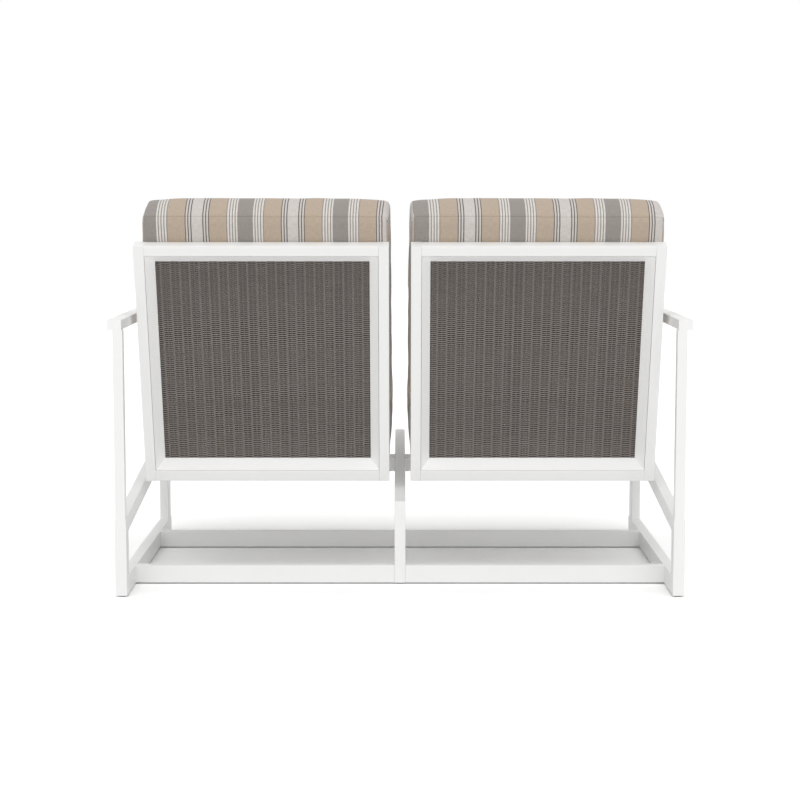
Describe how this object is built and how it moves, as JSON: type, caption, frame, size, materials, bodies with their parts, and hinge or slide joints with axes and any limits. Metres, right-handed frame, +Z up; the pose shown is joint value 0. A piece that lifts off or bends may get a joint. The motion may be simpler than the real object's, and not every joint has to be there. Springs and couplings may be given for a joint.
{
  "type": "outdoor rocking bench",
  "caption": "Outdoor rocking bench: a white tube frame with armrests carries two woven-back seats side by side on spring rockers, with striped box cushions",
  "frame": {"origin": "on the floor under the middle of the bench, at the centre of its overall width and depth", "axes": "+Z up, +X to the sitters' left, -Y the way the sitters face, so the woven backs are on the +Y side"},
  "size_m": [1.305, 0.852, 0.8966],
  "materials": {
    "white_powder_coat": "white powder coating on welded aluminium tube",
    "woven_loom_strand": "warm grey loom-woven strand",
    "striped_canvas": "woven canvas with vertical grey, tan and off-white stripes",
    "zinc_plated_steel": "zinc-plated steel",
    "grey_nylon": "grey nylon",
    "black_rubber": "black rubber"
  },
  "bodies": {
    "base": {"left_rear_leg": "white_powder_coat", "left_seat_beam": "white_powder_coat", "left_rear_post": "white_powder_coat", "left_front_post": "white_powder_coat", "left_armrest": "white_powder_coat", "left_floor_stretcher": "white_powder_coat", "left_crossbar": "white_powder_coat", "left_rocker_saddle": "zinc_plated_steel", "right_rear_leg": "white_powder_coat", "right_seat_beam": "white_powder_coat", "right_rear_post": "white_powder_coat", "right_front_post": "white_powder_coat", "right_armrest": "white_powder_coat", "right_floor_stretcher": "white_powder_coat", "right_crossbar": "white_powder_coat", "right_rocker_saddle": "zinc_plated_steel", "centre_rear_leg": "white_powder_coat", "centre_seat_beam": "white_powder_coat", "centre_post": "white_powder_coat", "front_floor_rail": "white_powder_coat", "rear_floor_rails": "white_powder_coat", "floor_glides": "grey_nylon", "saddle_bolts": "zinc_plated_steel", "pivot_bolts": "zinc_plated_steel", "pivot_nuts": "zinc_plated_steel", "lower_spring_cups": "zinc_plated_steel", "bump_stops": "black_rubber"},
    "left_seat": {"left_back_stiles": "white_powder_coat", "left_back_top_rail": "white_powder_coat", "left_back_bottom_rail": "white_powder_coat", "left_back_trim": "white_powder_coat", "left_woven_panel": "woven_loom_strand", "left_seat_side_rails": "white_powder_coat", "left_seat_front_rail": "white_powder_coat", "left_seat_cross_members": "white_powder_coat", "left_seat_slats": "white_powder_coat", "left_rocker_plate": "zinc_plated_steel", "left_plate_bolts": "zinc_plated_steel", "left_pivot_bushes": "grey_nylon", "left_upper_spring_cups": "zinc_plated_steel", "left_rocker_springs": "zinc_plated_steel", "left_seat_cushion": "striped_canvas", "left_back_cushion": "striped_canvas"},
    "right_seat": {"right_back_stiles": "white_powder_coat", "right_back_top_rail": "white_powder_coat", "right_back_bottom_rail": "white_powder_coat", "right_back_trim": "white_powder_coat", "right_woven_panel": "woven_loom_strand", "right_seat_side_rails": "white_powder_coat", "right_seat_front_rail": "white_powder_coat", "right_seat_cross_members": "white_powder_coat", "right_seat_slats": "white_powder_coat", "right_rocker_plate": "zinc_plated_steel", "right_plate_bolts": "zinc_plated_steel", "right_pivot_bushes": "grey_nylon", "right_upper_spring_cups": "zinc_plated_steel", "right_rocker_springs": "zinc_plated_steel", "right_seat_cushion": "striped_canvas", "right_back_cushion": "striped_canvas"}
  },
  "joints": [
    {"name": "left_seat_rock", "type": "hinge", "parent": "base", "child": "left_seat", "pos_m": [0.31462, -0.12577, 0.26248], "axis": [1, 0, 0], "range_deg": [-8, 8], "stiffness_Nm_per_rad": 900, "springref_deg": 1.03, "deforming": ["left_rocker_springs"]},
    {"name": "right_seat_rock", "type": "hinge", "parent": "base", "child": "right_seat", "pos_m": [-0.31462, -0.12577, 0.26248], "axis": [1, 0, 0], "range_deg": [-8, 8], "stiffness_Nm_per_rad": 900, "springref_deg": 1.03, "deforming": ["right_rocker_springs"]}
  ]
}
